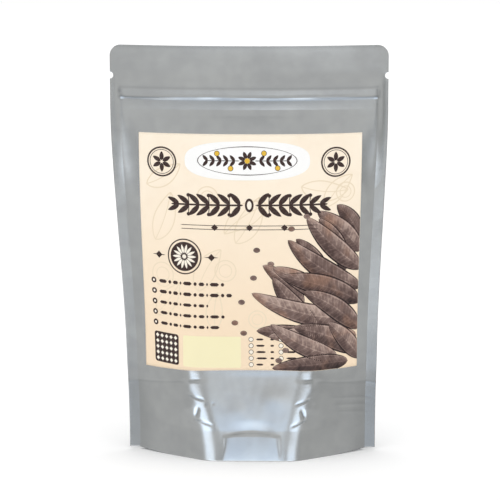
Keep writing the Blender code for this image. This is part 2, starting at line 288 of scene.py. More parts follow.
def film_rows():
    """Heights up a web: close together at the bottom, at the zip, at the notches and at the corners."""
    low = steps(0.0, (0.046, 0.0007), (0.060, 0.0010), (0.203, 0.0035), (0.2165, 0.0005))
    notch = NOTCH_HEIGHT + NOTCH_RADIUS * np.sin(np.radians(np.linspace(-90.0, 90.0, 15)))
    corner_foot = POUCH_HEIGHT - CORNER_RADIUS
    corner = corner_foot + CORNER_RADIUS * np.sin(np.radians(np.linspace(0.0, 90.0, 11)))
    below_notch = steps(low[-1], (notch[0], 0.0012))[1:-1]
    above_notch = steps(notch[-1], (corner_foot, 0.0013))[1:]
    return np.concatenate([low, below_notch, notch, above_notch, corner[1:]])


def film_grid():
    """The flat web's points: the columns outside 68 mm close up where the edge is cut in."""
    u, v = np.meshgrid(film_columns(), film_rows())
    kept = 0.068
    squeeze = (edge_at(v) - kept) / (HALF_WIDTH - kept)
    outer = kept + (np.abs(u) - kept) * squeeze
    return np.where(np.abs(u) > kept, np.sign(u) * outer, u), v


def groove(u, v, start, end, width):
    """How near a point is to a straight line on the film, with all places in millimetres.

    It is 1 on the line and falls off sideways as exp(-(distance / width) squared). Over the first
    and the last fifth of the line it fades to 0.3.
    """
    (u0, v0), (u1, v1) = start, end
    du, dv = u1 - u0, v1 - v0
    along = np.clip(((u - u0) * du + (v - v0) * dv) / (du * du + dv * dv), 0.0, 1.0)
    away = np.hypot(u - u0 - along * du, v - v0 - along * dv)
    ends = smooth(5.0 * along) * smooth(5.0 * (1.0 - along))
    return (0.3 + 0.7 * ends) * np.exp(-((away / width) ** 2))


def bump(u, v, middle, reach):
    """1 at the middle, falling off as bell does, with a reach of its own each way."""
    return np.exp(-(((u - middle[0]) / reach[0]) ** 2) - ((v - middle[1]) / reach[1]) ** 2)


def belly(u, v):
    """How far the filling pushes the front out: a ramp that steepens downwards, ending at the seal.

    It rises from the seal to the label's bottom edge and falls again up the label, in metres.
    """
    start, depth_there, full = 0.018, 0.0003, 0.056
    t = np.clip((v - start) / (full - start), 0.0, 1.0)
    ramp = -depth_there + 0.0019 * (1.0 - (1.0 - t) ** 1.35)
    fall = 0.0016 * between(v, (full, 0.125))
    return (ramp - fall) * (1.0 - between(np.abs(u), (0.034, 0.064)))


def web(name, side, relief):
    """The front or the back web, with its own relief, and each point's dullness and painted shade."""
    u, v = film_grid()
    points = film_point(u, v, side, relief(u, v)).reshape(-1, 3)
    flat = np.stack([u, v], axis=-1).reshape(-1, 2)
    # The film's painted shade, which also makes it duller: darker and rougher in the finish
    dull = np.clip(dull_and_shaded(u, v, side), 0.0, 1.0).ravel()
    obj = make_mesh(name, points, grid_faces(*u.shape[::-1], side > 0), flat, {"dull": dull})
    at_seal = np.abs(np.abs(film_columns()) - FIN[0]) < 0.00001
    sharpen(obj, np.repeat(at_seal[None, :], u.shape[0], axis=0).ravel())
    thicken(obj, FILM)
    return obj


def seal_top(u):
    """Height of the bottom seal: a line that rises from the bottom to the gusset's fold at the sides."""
    return GUSSET_SEAL + (GUSSET_DEPTH - GUSSET_SEAL) * np.abs(u / HALF_WIDTH) ** GUSSET_SEAL_POWER


def zip_relief(u, v):
    """The zip pressing through the film: a low band, and the lock's ridge along its lower side.

    The ridge is uneven along the pouch, so the line of light on it breaks up.
    """
    across = np.abs(u)
    band_height, ridge_height = 0.00012, 0.00030
    band = between(v, (0.2089, 0.2097)) * (1.0 - between(v, (0.2150, 0.2158)))
    uneven = 0.62 + 0.38 * np.sin(u * 171.0 + 0.4) * np.sin(u * 67.0 + 1.9)
    crest = 0.2105 - 0.00025 * np.sin(u * 90.0 + 0.5)
    ridge = bell(v, crest, 0.0007) * uneven * (1.0 - 0.6 * between(across, (0.040, 0.070)))
    return (band_height * band + ridge_height * ridge) * (1.0 - between(across, (0.073, 0.076)))


def common_relief(u, v):
    """What both webs show: the edge of the side seals, the gusset's fold, low waves and the zip."""
    inner = HALF_WIDTH - SIDE_SEAL
    side_seal = -0.00006 * between(np.abs(u), (inner - 0.0010, inner + 0.0006))
    waves = 0.00010 * np.sin(u * 61.0 + v * 23.0) * np.sin(v * 83.0 - u * 31.0 + 0.8)
    return side_seal + 0.00007 * gusset_fold(u, v) + waves + zip_relief(u, v)


def gusset_fold(u, v):
    """The line that the gusset's top fold presses through the webs, at both sides: 1 on the line."""
    across = np.abs(u)
    fold = 0.0463 - 0.16 * (across - 0.039)
    return bell(v, fold, 0.0006) * between(across, (0.036, 0.043))


def side_bends(u, v):
    """The folds down both edges of the filled middle, with all places in millimetres.

    Each starts as a valley between the bottom seal and the flank: it falls from an inner line to an
    outer one, comes back outwards, and fades upwards. Grooves and low bumps cross the bend above
    it. Below the label a ramp falls away downwards, and ends in a step 47 mm up.
    """
    across = np.abs(u)
    up = np.clip(v / 18.0, 0.0, 1.6)
    outer = np.where(u < 0.0, 19.6 + 5.0 * up, 17.0 + 6.8 * up)
    inner = np.where(u < 0.0, 15.8 + 2.4 * up, 15.2 + 1.6 * up)
    fall = 1.0 - (1.0 - np.clip((across - inner) / (outer - inner), 0.0, 1.0)) ** 2
    back = (1.0 - np.clip((across - outer) / 17.0, 0.0, 1.0) ** 2) ** 2
    valley = -np.where(u < 0.0, 0.16, 0.13) * np.minimum(fall, back) * (1.0 - between(v, (13.0, 27.0)))
    beside = between(across, (24.0, 29.0)) * (1.0 - between(across, (37.0, 44.0)))
    folds = -0.18 * np.clip((53.6 - v) / 6.0, 0.0, 1.0) * between(v, (46.8, 47.8)) * beside
    for start, end, depth, width in SIDE_CREASES:
        folds -= depth * groove(u, v, start, end, width)
    for middle, reach, raised in SIDE_BUMPS:
        folds += raised * bump(u, v, middle, reach)
    return valley + folds


def bottom_panel(u, v):
    """The sealed panel at the bottom, and the dent above it, with all places in millimetres.

    The panel leans out by its height, more so towards its sides, and stops at a crescent step down
    into the dent, which comes back over 7.5 mm.
    """
    half = 16.6
    inside = np.clip(1.0 - (u / half) ** 10, 0.0, None)
    arch = np.clip(1.0 - (u / 14.0) ** 2, 0.0, None)
    low = 14.9 + 0.5 * arch
    high = low + 0.6 + 2.2 * arch
    step = between(v, (low, high))
    steeper = 1.0 + np.where(u < 0.0, 0.65, 0.45) * (u / half) ** 2
    panel = (-0.25 + 0.60 * steeper * np.clip(v / 15.0, 0.0, 1.0) ** 0.7) * inside * (1.0 - step)
    dent = -0.44 * arch * step * (1.0 - between(v, (high, high + 7.5)))
    return panel + dent


# Creases across the side bends: both ends, depth and half width, in millimetres
SIDE_CREASES = (
    ((-36.2, 47.0), (-29.8, 48.0), 0.10, 0.60),
    ((-36.6, 38.7), (-27.6, 36.5), 0.26, 0.65),
    ((-30.6, 31.6), (-32.4, 26.2), 0.42, 1.20),
    ((-33.6, 24.6), (-22.6, 21.4), 0.24, 0.70),
    ((29.6, 47.4), (34.9, 47.8), 0.10, 0.60),
    ((34.3, 36.8), (25.6, 33.7), 0.26, 0.65),
    ((29.0, 30.6), (30.6, 25.4), 0.42, 1.20),
    ((31.6, 24.2), (23.0, 20.6), 0.24, 0.70),
    ((-25.9, 33.4), (-25.3, 33.6), 0.12, 0.60),
    ((-22.3, 34.3), (-21.7, 34.3), 0.12, 0.60),
    ((47.0, 36.2), (78.0, 30.6), 0.05, 0.80),
    ((49.0, 31.6), (77.0, 26.6), 0.05, 0.80),
    ((52.0, 26.9), (75.0, 22.4), 0.04, 0.80),
)
# Low bumps beside and between them: middle, reach each way and height, in millimetres
SIDE_BUMPS = (
    ((-37.2, 31.0), (3.0, 3.6), 0.34),
    ((36.4, 30.6), (3.0, 3.6), 0.34),
    ((-37.4, 43.0), (2.6, 4.0), 0.20),
    ((36.0, 42.4), (2.6, 4.0), 0.20),
    ((13.5, 37.5), (8.0, 6.5), 0.28),
    ((-9.0, 29.0), (6.0, 5.0), 0.10),
)


def label_sides(v):
    """The label's left and right edges at height v: it is a little wider at its foot."""
    low = np.clip((LABEL_TOP - v) / (LABEL_TOP - LABEL_BOTTOM), 0.0, 1.0)
    left = -LABEL_WIDTH / 2 + LABEL_MOVES[0] + LABEL_MOVES_LOW[0] * low
    right = LABEL_WIDTH / 2 + LABEL_MOVES[1] + LABEL_MOVES_LOW[1] * low
    return left, right


def clear_of_label(u, v):
    """0 where the label lies, so the film stays flat under it, and 1 from 3 mm outside it."""
    left, right = label_sides(v)
    limits = (-0.0005, 0.0030)
    beside = between(np.maximum(left - u, u - right), limits)
    beneath = 1.0 - between(v, (LABEL_BOTTOM - limits[1], LABEL_BOTTOM - limits[0]))
    above = between(v - LABEL_TOP, limits)
    return np.maximum(np.maximum(beside, beneath), above)


def front_relief(u, v):
    """The front web's: the belly, and clear of the label what both show, the side bends and the panel."""
    low = (side_bends(u * MM, v * MM) + bottom_panel(u * MM, v * MM)) / MM
    return belly(u, v) + clear_of_label(u, v) * (common_relief(u, v) + low)


def back_relief(u, v):
    """The back web's: what both show, and long shallow dents."""
    dents = 0.00025 * np.sin(u * 47.0 + 0.7) * np.sin(v * 39.0 + u * 22.0)
    return common_relief(u, v) + dents * (1.0 - between(np.abs(u), (0.045, 0.066)))


def zip_dull_and_shade(u, v):
    """How much darker and duller the film is along the zip: painted shade in lines at its top and foot,
    and darker at the ends of the lock.

    The lower line of painted shade breaks off at a few glints. The band beneath it has more painted shade
    right of the middle.
    """
    across = np.abs(u)
    # Painted dark lines along the zip's top and foot, and painted shade on the band beneath
    top_line = 0.30 * bell(v, 0.2157, 0.0007) * (1.0 - between(across, (0.0735, 0.0755)))
    glints = 0.0
    for place, width, strength in ((-0.024, 0.007, 1.0), (-0.003, 0.009, 0.7), (0.031, 0.009, 0.9)):
        glints = np.maximum(glints, strength * bell(u, place, width))
    low_line = (0.55 + 0.40 * between(across, (0.040, 0.060)) - 0.55 * glints) * bell(v, 0.2099, 0.0007)
    low_line = low_line * (1.0 - between(across, (0.0725, 0.0738)))
    beneath = between(v, (0.2035, 0.2088)) * (1.0 - between(v, (0.2094, 0.2100)))
    beneath = beneath * (0.15 + 0.60 * bell(u, 0.008, 0.036)) * (1.0 - between(across, (0.066, 0.073)))
    left_end = 0.8 * bump(u, v, (-0.0745, 0.2135), (0.0010, 0.0018))
    right_end = 0.5 * bump(u, v, (0.0750, 0.2125), (0.0008, 0.0020))
    both_ends = 0.9 * bump(across, v, (0.0735, 0.2101), (0.0014, 0.0012))
    return top_line + low_line + beneath + left_end + right_end + both_ends


def dull_and_shaded(u, v, side):
    """How much darker and duller a place is, from 0 to 1: painted shade at folds, seals, zip and creases.
    """
    across = np.abs(u)
    seal = seal_top(u)
    # Painted shade low on the side seals and on the right fin's foot, and a darker top edge
    sealed = 0.46 * between(across, (0.058, 0.074)) * (1.0 - between(v, (seal - 0.004, seal + 0.016)))
    top_edge = 0.30 * between(v, (0.2375, 0.2397))
    right_foot = 0.34 * between(u, (0.0736, 0.0742)) * (1.0 - between(v, (0.055, 0.090)))
    # Painted shade along the zip and along the gusset's fold line
    dull = sealed + right_foot + top_edge + zip_dull_and_shade(u, v) + 0.20 * gusset_fold(u, v)
    if side < 0:
        # Painted shade on the bottom panel
        on_panel = np.clip(1.0 - (u / 0.0168) ** 8, 0.0, 1.0) * (1.0 - between(v, (0.0148, 0.0160)))
        dull = dull + 0.15 * on_panel
        # Painted shade in the creases across the side bends
        for start, end, depth, width in SIDE_CREASES:
            strength = 0.8 * min(depth / 0.2, 1.0)
            dull = dull + strength * groove(u * MM, v * MM, start, end, 0.7 * width)
    return dull


def gusset_point(u, w):
    """A point of the bottom film: w is -1 at the front web's bottom edge, 1 at the back's, 0 on the fold.

    The outer half of each side lies sealed against its web, and the inner half spans from front to
    back, sagging in the middle under the contents.
    """
    side = np.where(w < 0.0, -1.0, 1.0)
    share = np.clip(2.0 * np.abs(w), 0.0, 1.0)
    up_the_seal = np.clip(2.0 - 2.0 * np.abs(w), 0.0, 1.0)
    top = seal_top(u)
    v = GUSSET_EDGE + (top - GUSSET_EDGE) * up_the_seal
    place = film_point(u, v, side, np.where(w < 0.0, front_relief(u, v), 0.0) - GUSSET_INSET)
    reach = np.abs(u) / GUSSET_SAG_REACH
    rise = GUSSET_CREST * smooth(reach - 1.0) - GUSSET_SAG * np.clip(1.0 - reach**2, 0.0, None)
    middle = bow(u, top)
    y = np.where(share < 1.0, middle + (place[..., 1] - middle) * share, place[..., 1])
    z = place[..., 2] + rise * (1.0 - share**2)
    return np.stack([place[..., 0], y, z], axis=-1)


def gusset():
    """The bottom film, folded up between the two webs."""
    half = steps(0.0, (0.5, 0.045), (1.0, 0.05))
    across = np.linspace(-HALF_WIDTH, HALF_WIDTH, 129)
    u, w = np.meshgrid(across, np.concatenate([-half[:0:-1], half]))
    flat = np.stack([u, w * GUSSET_DEPTH], axis=-1).reshape(-1, 2)
    points = gusset_point(u, w).reshape(-1, 3)
    obj = make_mesh("gusset_film", points, grid_faces(*u.shape[::-1], True), flat)
    thicken(obj, FILM)
    return obj


def label_foot(u):
    """Height of the label's bottom edge, which is cut a little lower towards its corners."""
    return LABEL_BOTTOM + LABEL_FOOT_RISE - LABEL_FOOT_CURVE * (u / LABEL_WIDTH * 2.0) ** 2


def label():
    """The label, stuck on the front web, with u and v in millimetres as its UV map."""
    along, share = np.meshgrid(np.linspace(0.0, 1.0, 130), np.linspace(0.0, 1.0, 70))
    left, right = label_sides(LABEL_BOTTOM + (LABEL_TOP - LABEL_BOTTOM) * share)
    u = left + (right - left) * along
    v = label_foot(u) + (LABEL_TOP - label_foot(u)) * share
    flat = np.stack([u, v], axis=-1).reshape(-1, 2) * MM
    points = film_point(u, v, -1, PAPER_OFF + belly(u, v)).reshape(-1, 3)
    obj = make_mesh("label_sheet", points, grid_faces(*u.shape[::-1]), flat)
    thicken(obj, PAPER)
    return obj


# The print's patches lie flat, in millimetres, with their points about this far apart
SPACING = 1.2


def ribbon(x, y, half, across=2):
    """A strip along a line of points: each point goes square to the line, by half, to both sides."""
    dx, dy = np.gradient(x), np.gradient(y)
    length = np.hypot(dx, dy) + 1e-9
    t = np.linspace(-1.0, 1.0, across)
    s = np.linspace(0.0, 1.0, len(x))
    px = x[:, None] + (dy / length * half)[:, None] * t
    py = y[:, None] - (dx / length * half)[:, None] * t
    return px, py, np.repeat(s[:, None], across, axis=1), np.repeat(t[None, :], len(x), axis=0)


def line(x0, y0, x1, y1, half):
    """A straight bar with rounded ends, whose half width falls off as a circle's does."""
    length = math.hypot(x1 - x0, y1 - y0)
    s = np.linspace(0.0, 1.0, max(6, int(length / SPACING)))
    from_end = np.minimum(s, 1.0 - s) * length
    into = np.clip(from_end / half, 0.0, 1.0)
    return ribbon(x0 + (x1 - x0) * s, y0 + (y1 - y0) * s, half * np.sqrt(into * (2.0 - into)))


def ring(x, y, across, up, half):
    """A closed line along an ellipse round (x, y)."""
    turn = np.linspace(0.0, 2.0 * math.pi, 73)
    rx, ry = across * np.cos(turn), up * np.sin(turn)
    t = np.array([-1.0, 1.0])
    length = np.hypot(rx, ry)
    px = x + rx[:, None] * (1.0 + half / length[:, None] * t)
    py = y + ry[:, None] * (1.0 + half / length[:, None] * t)
    s = np.repeat((turn / (2.0 * math.pi))[:, None], 2, axis=1)
    return px, py, s, np.repeat(t[None, :], len(turn), axis=0)


def disc(x, y, across, up, power=2.0, around=33, rings=None):
    """A filled ellipse, or nearly a rectangle at a high power: rings shrunk towards (x, y)."""
    turn = np.linspace(0.0, 2.0 * math.pi, around)
    cos, sin = np.cos(turn), np.sin(turn)
    rx = across * np.sign(cos) * np.abs(cos) ** (2.0 / power)
    ry = up * np.sign(sin) * np.abs(sin) ** (2.0 / power)
    share = np.linspace(0.0, 1.0, rings or max(3, int(max(across, up) / SPACING)))
    px = x + rx[:, None] * share
    py = y + ry[:, None] * share
    s = np.repeat((turn / (2.0 * math.pi))[:, None], len(share), axis=1)
    return px, py, s, np.repeat(share[None, :], around, axis=0)


def plate(x, y, across, up, corner):
    """A filled rectangle with round corners: the corner's circle shortens its rows at both ends."""
    turn = np.radians(np.linspace(0.0, 90.0, 8))
    near = corner * (1.0 - np.cos(turn))
    straight = np.linspace(corner, 2.0 * up - corner, 12)[1:]
    from_edge = np.concatenate([near, straight, 2.0 * up - near[::-1][1:]])
    into = np.clip(np.minimum(from_edge, 2.0 * up - from_edge), 0.0, corner)
    half = across - corner + np.sqrt(np.clip(corner**2 - (corner - into) ** 2, 0.0, None))
    t = np.linspace(-1.0, 1.0, max(3, int(across * 2.0 / SPACING)))
    px = x + half[:, None] * t
    py = np.repeat((y - up + from_edge)[:, None], len(t), axis=1)
    s = np.repeat((from_edge / (2.0 * up))[:, None], len(t), axis=1)
    return px, py, s, np.repeat(t[None, :], len(from_edge), axis=0)


def leaf(x, y, angle, length, width, turn=0.0, across=9, blunt=0.8):
    """A leaf from its stalk at (x, y): it sets off at angle and bends evenly by turn, in degrees.

    Its half width is the sine of the way along, to the power of blunt, pulled towards the stalk.
    """
    s = np.linspace(0.0, 1.0, max(9, int(length / SPACING)))
    heading = np.radians(angle + turn * s)
    step = length / (len(s) - 1)
    px = x + np.concatenate([[0.0], np.cumsum(np.cos(heading[:-1]))]) * step
    py = y + np.concatenate([[0.0], np.cumsum(np.sin(heading[:-1]))]) * step
    half = width / 2 * np.sin(math.pi * s**0.85) ** blunt
    return ribbon(px, py, half, across)


class Print:
    """All that one ink prints on the label: patches in millimetres, laid on one over another.

    lift is the first patch's height over the paper, and rise is what each patch adds, in metres.
    """

    def __init__(self, name, lift, rise=0.0):
        self.name = name
        self.lift = lift
        self.rise = rise
        self.patches = []

    def add(self, patch, tone=0.5):
        """Lays one more patch over the others, in a tone of its own for the leaves."""
        self.patches.append((*patch, tone, self.lift + self.rise * len(self.patches)))

    def build(self, finish):
        """One mesh of all patches: each point sits on the label at its place, by its lift."""
        points, faces, flat, tones, start = [], [], [], [], 0
        for x, y, s, t, tone, lift in self.patches:
            left, right = label_sides(y / MM)
            u = np.clip(x / MM, left + INK_INSET, right - INK_INSET)
            v = np.clip(y / MM, label_foot(u) + INK_INSET, LABEL_TOP - INK_INSET)
            place = film_point(u, v, -1, PAPER_OFF + PAPER / 2 + lift + belly(u, v))
            points.append(place.reshape(-1, 3))
            faces.append(grid_faces(x.shape[1], x.shape[0]) + start)
            flat.append(np.stack([s, t], axis=-1).reshape(-1, 2))
            tones.append(np.full(x.size, tone))
            start += x.size
        flat, tones = np.concatenate(flat), np.concatenate(tones)
        obj = make_mesh(self.name, np.concatenate(points), np.concatenate(faces), flat, {"tone": tones})
        return put_on(obj, finish, "label_paper")


# The spray of leaves: stalk, heading, length, width, bend and tone of each, from the back to the front
SPRAY = (
    (66.0, 128.0, 112.0, 26.0, 10.5, 30.0, 0.22),
    (67.0, 120.0, 128.0, 38.0, 12.0, 20.0, 0.55),
    (57.0, 110.0, 104.0, 36.0, 11.5, 30.0, 0.34),
    (68.0, 110.0, 146.0, 48.0, 13.0, -18.0, 0.66),
    (45.0, 100.0, 104.0, 36.0, 11.0, 36.0, 0.26),
    (30.0, 92.0, 118.0, 33.0, 10.0, 34.0, 0.50),
    (68.0, 99.0, 160.0, 56.0, 13.0, -28.0, 0.46),
    (46.0, 92.0, 134.0, 40.0, 11.5, 26.0, 0.74),
    (68.0, 90.0, 148.0, 54.0, 13.5, 24.0, 0.32),
    (38.0, 80.0, 142.0, 38.0, 11.0, -22.0, 0.58),
    (66.0, 82.0, 178.0, 68.0, 13.0, -26.0, 0.80),
    (68.0, 74.0, 134.0, 46.0, 13.0, 24.0, 0.40),
    (46.0, 68.0, 156.0, 44.0, 11.5, 24.0, 0.30),
    (66.0, 70.0, 168.0, 56.0, 13.0, 16.0, 0.62),
    (68.0, 60.0, 144.0, 48.0, 13.0, 24.0, 0.48),
    (52.0, 60.0, 164.0, 46.0, 11.5, -24.0, 0.70),
    (60.0, 56.0, 174.0, 48.0, 11.5, 14.0, 0.28),
    (69.0, 56.0, 126.0, 34.0, 11.5, 16.0, 0.60),
)
# The garland's leaves, from the middle outwards: length, width and how far each leans off the stem
GARLAND = (
    (9.4, 3.1, 58.0), (9.8, 3.0, 51.0), (9.2, 3.2, 54.0), (9.9, 3.0, 48.0),
    (9.0, 3.0, 53.0), (8.6, 2.9, 46.0), (7.8, 2.7, 38.0),
)
SEEDS = (
    (2.0, 108.0), (-5.0, 94.0), (12.0, 116.0), (24.0, 136.0), (-9.0, 82.0),
    (33.0, 143.0), (4.0, 124.0), (-4.0, 76.0), (16.0, 60.0), (20.0, 66.0),
)
# The faint leaves: stalk, heading, length and bend; and the faint rings: middle and radius
FAINT_LEAVES = (
    (-56.0, 128.0, 60.0, 30.0, 20.0),
    (-30.0, 100.0, 75.0, 28.0, -30.0),
    (-8.0, 128.0, 50.0, 30.0, 25.0),
    (-60.0, 160.0, 20.0, 24.0, 25.0),
    (30.0, 160.0, -20.0, 28.0, 30.0),
    (-20.0, 78.0, 100.0, 22.0, -30.0),
    (10.0, 150.0, 200.0, 30.0, 30.0),
    (44.0, 148.0, 60.0, 24.0, -25.0),
    (-58.0, 84.0, 40.0, 26.0, 20.0),
)
FAINT_RINGS = (
    (-52.0, 108.0, 7.0), (-14.0, 112.0, 6.0), (4.0, 84.0, 5.0), (56.0, 156.0, 5.5), (-24.0, 154.0, 6.0),
)
# The beads of a line, which repeat; and each beaded line's right end and its beads' half height
BEADS = ((0.0, 5.4), (6.4, 8.4), (9.4, 12.8), (13.8, 14.9))
BEADS_REPEAT = 15.8
BEADED_LINES = ((-13.0, 1.0), (-9.0, 1.0), (-20.0, 0.88), (-11.0, 0.88), (-15.0, 0.88))
# The inks in the order they are built: piece, first lift, rise, finish and colour
INKS = {
    "faint": ("print_faint_outlines", 0.00002, 0.0, "ink_faint", (0.87, 0.735, 0.545)),
    "pale": ("print_pale_panel", 0.00003, 0.0, "ink_pale_yellow", (0.93, 0.86, 0.56)),
    "white": ("print_white", 0.00003, 0.0000005, "ink_white", (0.98, 0.98, 0.97)),
    "dark": ("print_dark_brown", 0.00005, 0.0000002, "ink_dark_brown", (0.036, 0.016, 0.013)),
    "yellow": ("print_yellow", 0.00007, 0.0000002, "ink_yellow", (0.80, 0.50, 0.05)),
    "light": ("print_cream_on_dark", 0.00009, 0.0000002, "ink_cream", (0.95, 0.88, 0.76)),
}


def flower(ink, x, y, petals, first, reach, length, width, blunt):
    """Petals set evenly round (x, y), from the heading of the first one on."""
    for number in range(petals):
        heading = first + number * 360.0 / petals
        foot_x = x + reach * math.cos(math.radians(heading))
        foot_y = y + reach * math.sin(math.radians(heading))
        ink.add(leaf(foot_x, foot_y, heading, length, width, 0.0, 5, blunt))


def diamond(ink, x, y, across, up):
    """A diamond: a disc of four straight sides."""
    ink.add(disc(x, y, across, up, 1.0, 5, 3))


def print_faint(ink):
    """Leaves in outline, each with its rib, and pairs of rings."""
    for x, y, angle, length, turn in FAINT_LEAVES:
        px, py, _, _ = leaf(x, y, angle, length, length * 0.42, turn, 3)
        for column, half in enumerate((0.34, 0.26, 0.34)):
            ink.add(ribbon(px[:, column], py[:, column], np.full(len(px), half)))
    for x, y, size in FAINT_RINGS:
        ink.add(ring(x, y, size, size, 0.34))
        ink.add(ring(x, y, size * 0.6, size * 0.6, 0.26))


def print_plaque(inks):
    """A white plaque with a flower between two sprigs, inside an oval ring, and a medal on each side."""
    dark, yellow = inks["dark"], inks["yellow"]
    x, y = -1.0, 174.8
    inks["white"].add(disc(x, y, 36.0, 11.0, 2.7, 97))
    dark.add(ring(x, y, 28.5, 8.0, 0.24))
    for side in (-1.0, 1.0):
        dark.add(line(x + side * 4.0, y, x + side * 24.5, y, 0.22))
        away = 0.0 if side > 0.0 else 180.0
        for number in range(5):
            stalk = x + side * (7.0 + 3.9 * number)
            for turned in (side, -side):
                dark.add(leaf(stalk, y, away + turned * 42.0, 4.4, 1.9, turned * 14.0, 5, 0.7))
        for reach, rise in ((9.6, 4.3), (17.4, -4.1)):
            berry = (x + side * reach, y + side * rise)
            dark.add(disc(*berry, 1.6, 1.6))
            yellow.add(disc(*berry, 1.3, 1.3))
    flower(dark, x, y, 8, 22.5, 1.2, 4.4, 2.2, 0.6)
    yellow.add(disc(x, y, 1.5, 1.5))
    for x, y in ((-50.5, 173.5), (50.0, 173.5)):
        dark.add(ring(x, y, 8.2, 8.2, 0.45))
        dark.add(ring(x, y, 6.9, 6.9, 0.16))
        flower(dark, x, y, 6, 30.0, 0.7, 5.2, 2.5, 0.7)


def print_garland(dark, light):
    """A straight garland of leaves and berries with a bead in its middle, over two thin lines."""
    y = 149.6
    for side in (-1.0, 1.0):
        dark.add(line(side * 3.4, y, side * 45.5, y, 0.5))
        away = 0.0 if side > 0.0 else 180.0
        for number, (length, width, off_stem) in enumerate(GARLAND):
            x = side * (5.2 + 5.9 * number)
            for up in (-1.0, 1.0):
                turned = up * side
                dark.add(leaf(x, y, away + turned * off_stem, length, width, -turned * 22.0, 7, 0.72))
                if number % 2:
                    berry = (x + side * 0.4, y + up * 5.4)
                    dark.add(line(x, y, *berry, 0.22))
                    dark.add(disc(*berry, 1.05, 1.05))
    dark.add(disc(0.0, y, 2.5, 3.9))
    light.add(disc(0.0, y, 1.3, 2.4))
    for y in (137.9, 135.7):
        dark.add(line(-40.0, y, 40.0, y, 0.17))
    for x in (-20.0, 0.0, 20.0):
        diamond(dark, x, 136.8, 2.0, 1.9)


def print_daisy(dark, light):
    """A dark disc with a cream daisy and a ring round it, and a diamond on a line at each side."""
    x, y = -38.0, 119.5
    dark.add(disc(x, y, 8.4, 8.4, around=65))
    dark.add(ring(x, y, 9.9, 9.9, 0.35))
    flower(light, x, y, 14, 0.0, 1.9, 5.2, 1.5, 0.7)
    light.add(disc(x, y, 1.2, 1.2))
    for x in (-54.0, -22.0):
        diamond(dark, x, y, 2.1, 2.1)
        dark.add(line(x - 4.2, y, x + 4.2, y, 0.22))


def print_beads(dark, light):
    """Five beaded lines, each starting with a small ring."""
    for number, (reach, half) in enumerate(BEADED_LINES):
        y = 104.0 - 6.2 * number
        dark.add(disc(-58.4, y, 1.7, 1.7))
        light.add(disc(-58.4, y, 0.7, 0.7))
        for begin in np.arange(-54.8, reach, BEADS_REPEAT):
            for low, high in BEADS:
                if begin + high < reach:
                    dark.add(line(begin + low, y, begin + high, y, half))


def print_foot(inks):
    """Along the label's foot: a lattice, a plain pale panel, and two columns of rings with dashes."""
    dark, light = inks["dark"], inks["light"]
    dark.add(plate(-50.8, 64.8, 9.0, 9.0, 1.6))
    for column in range(5):
        for row in range(5):
            diamond(light, -57.6 + 3.4 * column, 58.0 + 3.4 * row, 1.25, 1.25)
    inks["pale"].add(plate(-22.2, 64.8, 16.6, 9.2, 1.2))
    for x in (0.2, 17.4):
        for row in range(5):
            y = 57.6 + 3.7 * row
            dark.add(disc(x, y, 1.4, 1.4))
            light.add(disc(x, y, 1.12, 1.12))
            dark.add(line(x + 2.8, y, x + 7.0 + (row * 2.3) % 3.0, y, 0.55))
            dark.add(line(x + 11.0, y, x + 13.2, y, 0.55))


def label_print():
    """The label's plain pattern: leaves, seeds, rings, beaded lines and a lattice, without lettering."""
    inks = {key: Print(name, lift, rise) for key, (name, lift, rise, _, _) in INKS.items()}
    print_faint(inks["faint"])
    print_plaque(inks)
    print_garland(inks["dark"], inks["light"])
    print_daisy(inks["dark"], inks["light"])
    print_beads(inks["dark"], inks["light"])
    print_foot(inks)
    leaves = Print("print_leaf_spray", 0.00006, 0.000003)
    for x, y, angle, length, width, turn, tone in SPRAY:
        leaves.add(leaf(x, y, angle, length, width, turn, 15, 0.62), tone)
    seeds = Print("print_seeds", 0.00012)
    for x, y in SEEDS:
        seeds.add(disc(x, y, 1.9, 1.45), 0.3)
    for key, (_, _, _, finish, colour) in INKS.items():
        inks[key].build(ink_finish(finish, colour))
    finish = leaf_finish()
    leaves.build(finish)
    seeds.build(finish)


class Value:
    """A socket of a material: arithmetic on it adds Math nodes."""

    def __init__(self, tree, socket):
        self.tree = tree
        self.socket = socket

    def math(self, operation, *others, clamp=False):
        """This value and the others put through one operation, held between 0 and 1 if clamped."""
        node = self.tree.nodes.new("ShaderNodeMath")
        node.operation = operation
        node.use_clamp = clamp
        for slot, value in zip(node.inputs, (self, *others)):
            connect(self.tree, slot, value)
        return Value(self.tree, node.outputs[0])

    def __add__(self, other):
        return self.math("ADD", other)

    __radd__ = __add__

    def __sub__(self, other):
        return self.math("SUBTRACT", other)

    def __rsub__(self, other):
        return (self * -1.0).math("ADD", other)

    def __mul__(self, other):
        return self.math("MULTIPLY", other)

    __rmul__ = __mul__

    def sin(self):
        return self.math("SINE")

    def abs(self):
        return self.math("ABSOLUTE")

    def step(self, low, high):
        """A smooth step from 0 at low to 1 at high."""
        node = self.tree.nodes.new("ShaderNodeMapRange")
        node.interpolation_type = "SMOOTHSTEP"
        for slot, value in zip(node.inputs, (self, low, high, 0.0, 1.0)):
            connect(self.tree, slot, value)
        return Value(self.tree, node.outputs[0])


def connect(tree, slot, value):
    """Links a socket to a value, or sets it to a number or colour."""
    if isinstance(value, Value):
        tree.links.new(value.socket, slot)
    elif slot.type == "RGBA" and len(value) == 3:
        slot.default_value = (*value, 1.0)
    else:
        slot.default_value = value


